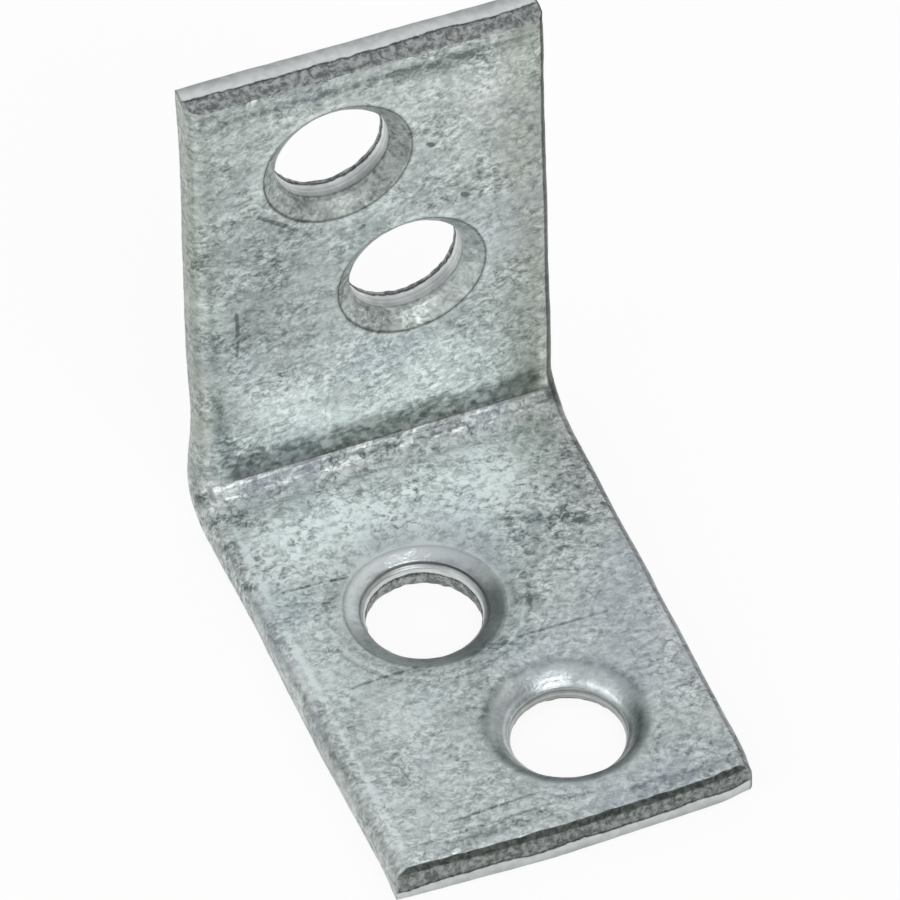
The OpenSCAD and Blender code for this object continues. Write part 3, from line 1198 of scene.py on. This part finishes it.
        # Painted shade: a dark line along the right side's roundings, fainter on the floor leg.
        right_edge_shade = self.band(bench, side, 0.36, 0.90, 0.10, 0.06)
        right_edge_shade = bench.sum("MULTIPLY", right_edge_shade, bench.remap(along, -2.0, 3.0, 0.65, 1.0))
        plate = bench.tint(right_edge_shade, plate, self.outline)
        cone = bench.attribute("cone")
        plate = bench.tint(cone, plate, self.pressed)
        for u, x, radius in self.rims:
            ring = bench.sum("MULTIPLY", top, self.ring(bench, place, (u, x), radius, 0.07))
            plate = bench.tint(bench.sum("MULTIPLY", ring, 0.75), plate, self.outline)
        cut = bench.attribute("cut")
        tear = bench.attribute("tear")
        wobble = bench.noise(solid, 4.2, 3.0, 0.6)
        edge = bench.sum("ADD", tear, bench.remap(wobble, 0.25, 0.75, -0.025, 0.025))
        torn = bench.sum("MULTIPLY", cut, bench.remap(edge, -0.01, 0.03))
        border = bench.sum("MULTIPLY", cut, self.line(bench, edge, 0.05, 0.07))
        drawn = bench.sum(
            "ADD", bench.remap(mottle, 0.3, 0.7, 0.0, 0.2),
            bench.remap(tear, -0.6, -0.05, 0.15, 0.7),
        )
        shine = bench.mix(drawn, self.worked.linear(), self.burnished.linear())
        front = bench.remap(along, 0.0, -18.0, 0.1, 1.0)
        shine = bench.tint(bench.sum("MULTIPLY", front, 0.8), shine, self.edge)
        colour = bench.mix(cut, plate, shine)
        rubble = bench.noise(solid, 4.8, 3.0, 0.65, 0.4)
        fracture = bench.mix(
            bench.remap(rubble, 0.36, 0.66), self.torn.linear(), self.soot.linear()
        )
        # Painted shade, with the burr's own dark: a dark line along the top of the torn band, strongest
        # towards the floor leg's end.
        lip = self.band(bench, above, 1.10, 1.27, 0.10, 0.04)
        fracture = bench.tint(bench.sum("MULTIPLY", lip, front), fracture, self.crease)
        fracture = bench.tint(front, fracture, self.edge)
        colour = bench.mix(torn, colour, fracture)
        colour = bench.tint(bench.sum("MULTIPLY", border, 0.9), colour, self.crease)
        # The holes' dark rings, and the painted shade on one side of their cones.
        colour = bench.tint(bench.attribute("shade"), colour, self.outline)
        rough = bench.remap(level, 0.0, 1.0, 0.42, 0.32)
        rough = bench.sum("ADD", rough, bench.remap(grain, 0.3, 0.7, -0.04, 0.04))
        rough = bench.sum("ADD", rough, bench.sum("MULTIPLY", torn, 0.2))
        rough = bench.sum("ADD", rough, bench.sum("MULTIPLY", cone, 0.42))
        height = bench.sum("ADD", bench.sum("MULTIPLY", fine, 1.2), grain)
        height = bench.sum("MULTIPLY", height, bench.sum("SUBTRACT", 1.0, cut))
        height = bench.sum(
            "ADD", height, bench.sum("MULTIPLY", bench.sum("MULTIPLY", torn, rubble), 3.0)
        )
        bump = bench.put("ShaderNodeBump")
        bump.inputs["Strength"].default_value = 0.3
        bump.inputs["Distance"].default_value = 0.00002
        bench.feed(bump.inputs["Height"], height)
        shader = bench.put("ShaderNodeBsdfPrincipled")
        bench.feed(shader.inputs["Base Color"], colour)
        shader.inputs["Metallic"].default_value = self.metal
        bench.feed(shader.inputs["Roughness"], rough)
        bench.feed(shader.inputs["Normal"], bump.outputs["Normal"])
        out = bench.put("ShaderNodeOutputMaterial")
        bench.feed(out.inputs["Surface"], shader.outputs["BSDF"])
        return made


# ---------------------------------------------------------------- the studio


@dataclass(frozen=True)
class Studio:
    """A plain white floor under soft light, and the camera."""

    floor_half: float = 1.5
    floor_drop: float = 0.00002
    paper: Tone = Tone(255, 255, 255)
    shadow_share: float = 0.10
    azimuth: float = 20.464
    elevation: float = 47.751
    roll: float = -1.191
    target: tuple[float, float, float] = (-0.00051, 0.00004, 0.00967)
    distance: float = 0.66881
    lens: float = 826.14
    back_wall: float = 0.60
    front_wall: float = 0.20
    ceiling: float = 1.0
    lean: float = 0.12
    key: float = 2.25
    key_way: tuple[float, float, float] = (0.05, -0.766, 0.643)
    key_soft: float = 0.875
    key_core: float = 0.975
    panel: float = 1.4
    panel_way: tuple[float, float, float] = (-0.88, -0.22, 0.22)
    panel_soft: float = 0.78
    panel_core: float = 0.95

    def camera(self) -> bpy.types.Object:
        """A long lens at the photograph's angle.

        Returns:
            The camera, set as the scene's.
        """
        az, el, roll = (
            math.radians(a) for a in (self.azimuth, self.elevation, self.roll)
        )
        ahead = Vector(
            (math.sin(az) * math.cos(el), math.cos(az) * math.cos(el), -math.sin(el))
        )
        right = Vector((math.cos(az), -math.sin(az), 0.0))
        up = right.cross(ahead)
        across = right * math.cos(roll) + up * math.sin(roll)
        upward = up * math.cos(roll) - right * math.sin(roll)
        turn = Matrix((across, upward, -ahead)).transposed().to_4x4()
        data = bpy.data.cameras.new("camera")
        data.lens = self.lens
        data.sensor_width = 36.0
        data.clip_start, data.clip_end = 0.05, 10.0
        camera = bpy.data.objects.new("camera", data)
        camera.matrix_world = (
            Matrix.Translation(Vector(self.target) - ahead * self.distance) @ turn
        )
        bpy.context.scene.collection.objects.link(camera)
        bpy.context.scene.camera = camera
        return camera

    def floor(self) -> bpy.types.Object:
        """A plain white floor, just under the bracket.

        Its paper looks white to the camera and in gloss, and keeps a share
        of the object's shadow.

        Returns:
            The floor.
        """
        half = self.floor_half
        corners = np.array([[-1, -1], [1, -1], [1, 1], [-1, 1]]) * half
        places = np.column_stack([corners, np.full(4, -self.floor_drop)])
        mesh = bpy.data.meshes.new("studio_floor")
        mesh.from_pydata(places, [], [(0, 1, 2, 3)])
        floor = bpy.data.objects.new("studio_floor", mesh)
        bpy.context.scene.collection.objects.link(floor)
        made = bpy.data.materials.new("studio_paper")
        made.use_nodes = True
        made.node_tree.nodes.clear()
        bench = NodeBench(made.node_tree)
        path = bench.put("ShaderNodeLightPath")
        seen = bench.sum(
            "MAXIMUM", path.outputs["Is Camera Ray"], path.outputs["Is Glossy Ray"]
        )
        seen = bench.sum("MAXIMUM", seen, path.outputs["Is Transmission Ray"])
        paper = bench.put("ShaderNodeBsdfDiffuse")
        paper.inputs["Color"].default_value = self.paper.linear()
        glow = bench.put("ShaderNodeEmission")
        glow.inputs["Color"].default_value = (1.0, 1.0, 1.0, 1.0)
        blend = bench.put("ShaderNodeMixShader")
        bench.feed(blend.inputs[0], bench.sum("MULTIPLY", seen, 1.0 - self.shadow_share))
        bench.feed(blend.inputs[1], paper.outputs[0])
        bench.feed(blend.inputs[2], glow.outputs[0])
        out = bench.put("ShaderNodeOutputMaterial")
        bench.feed(out.inputs["Surface"], blend.outputs[0])
        mesh.materials.append(made)
        return floor

    def room(self) -> bpy.types.World:
        """Soft light from a bright ceiling, dimmer walls, and a large soft
        box above the camera; low in front the room is dim.

        Returns:
            The world, set as the scene's.
        """
        world = bpy.data.worlds.new("studio_room")
        world.use_nodes = True
        world.node_tree.nodes.clear()
        bench = NodeBench(world.node_tree)
        way = bench.put("ShaderNodeTexCoord").outputs["Generated"]
        parts = bench.put("ShaderNodeSeparateXYZ")
        bench.feed(parts.inputs[0], way)
        front = bench.sum("MULTIPLY", parts.outputs["Y"], -1.0)
        walls = bench.remap(front, -0.3, 0.5, self.back_wall, self.front_wall)
        leaning = bench.remap(parts.outputs["X"], -0.7, 0.7, 1.0 - self.lean, 1.0 + self.lean)
        walls = bench.sum("MULTIPLY", walls, leaning)
        ceiling = bench.remap(parts.outputs["Z"], 0.45, 0.75)
        ceiling = bench.sum("MULTIPLY", ceiling, bench.remap(front, -0.1, 0.5, 1.0, 0.5))
        ceiling = bench.sum("MULTIPLY", ceiling, self.ceiling - self.front_wall)
        box = bench.put("ShaderNodeVectorMath", operation="DOT_PRODUCT")
        bench.feed(box.inputs[0], way)
        box.inputs[1].default_value = Vector(self.key_way).normalized()
        key = bench.remap(box.outputs["Value"], self.key_soft, self.key_core, 0.0, self.key)
        aside = bench.put("ShaderNodeVectorMath", operation="DOT_PRODUCT")
        bench.feed(aside.inputs[0], way)
        aside.inputs[1].default_value = Vector(self.panel_way).normalized()
        panel = bench.remap(
            aside.outputs["Value"], self.panel_soft, self.panel_core, 0.0, self.panel
        )
        level = bench.sum("MAXIMUM", walls, ceiling)
        level = bench.sum("ADD", bench.sum("ADD", level, key), panel)
        back = bench.put("ShaderNodeBackground")
        bench.feed(back.inputs["Color"], level)
        back.inputs["Strength"].default_value = 1.0
        out = bench.put("ShaderNodeOutputWorld")
        bench.feed(out.inputs["Surface"], back.outputs[0])
        bpy.context.scene.world = world
        return world


def main() -> None:
    """Builds the studio and the bracket, and reports each piece."""
    logging.basicConfig(level=logging.INFO, format="%(name)s: %(message)s")
    bpy.context.scene.view_settings.view_transform = "Standard"
    studio = Studio()
    studio.room()
    studio.floor()
    studio.camera()
    piece = BracketSkin().build()
    piece.data.materials.append(ZincFinish().material())
    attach(piece, "root")
    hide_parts("bracket")
    LOG.info("%s: %d faces", piece.name, len(piece.data.polygons))


if __name__ == "__main__":
    main()
